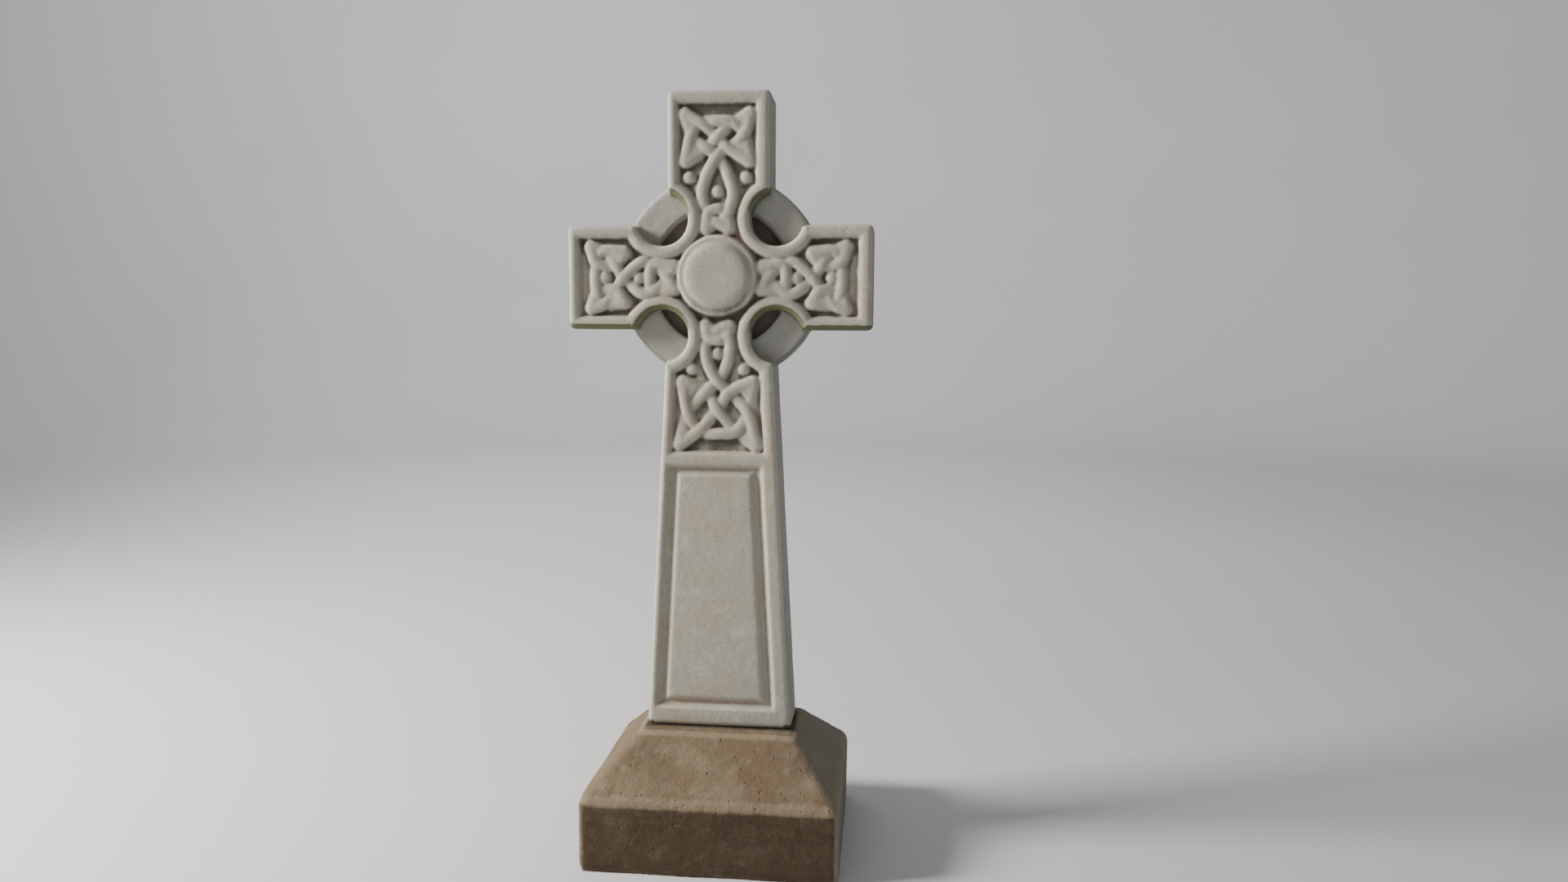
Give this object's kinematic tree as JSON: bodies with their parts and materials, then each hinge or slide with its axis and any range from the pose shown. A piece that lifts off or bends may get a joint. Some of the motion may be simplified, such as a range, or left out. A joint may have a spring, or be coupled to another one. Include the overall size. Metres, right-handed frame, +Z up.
{
  "type": "ringed cross memorial",
  "caption": "Carved pale stone ringed cross with knotwork in its arms, a round boss and a plain shaft panel, on a sloping brown stone plinth.",
  "frame": {"origin": "middle of the plinth's underside, on the ground", "axes": "+Z up along the cross, -Y out of the carved front, +X to the right of someone facing the front"},
  "size_m": [0.61, 0.422, 1.5273],
  "materials": {
    "pale_stone": "matt, weathered, with brown dirt in the hollows and a little green growth",
    "brown_sandstone": "matt, dressed and worn, with level bedding"
  },
  "bodies": {
    "root": {"ringed_cross": "pale_stone", "plinth": "brown_sandstone"}
  },
  "joints": []
}
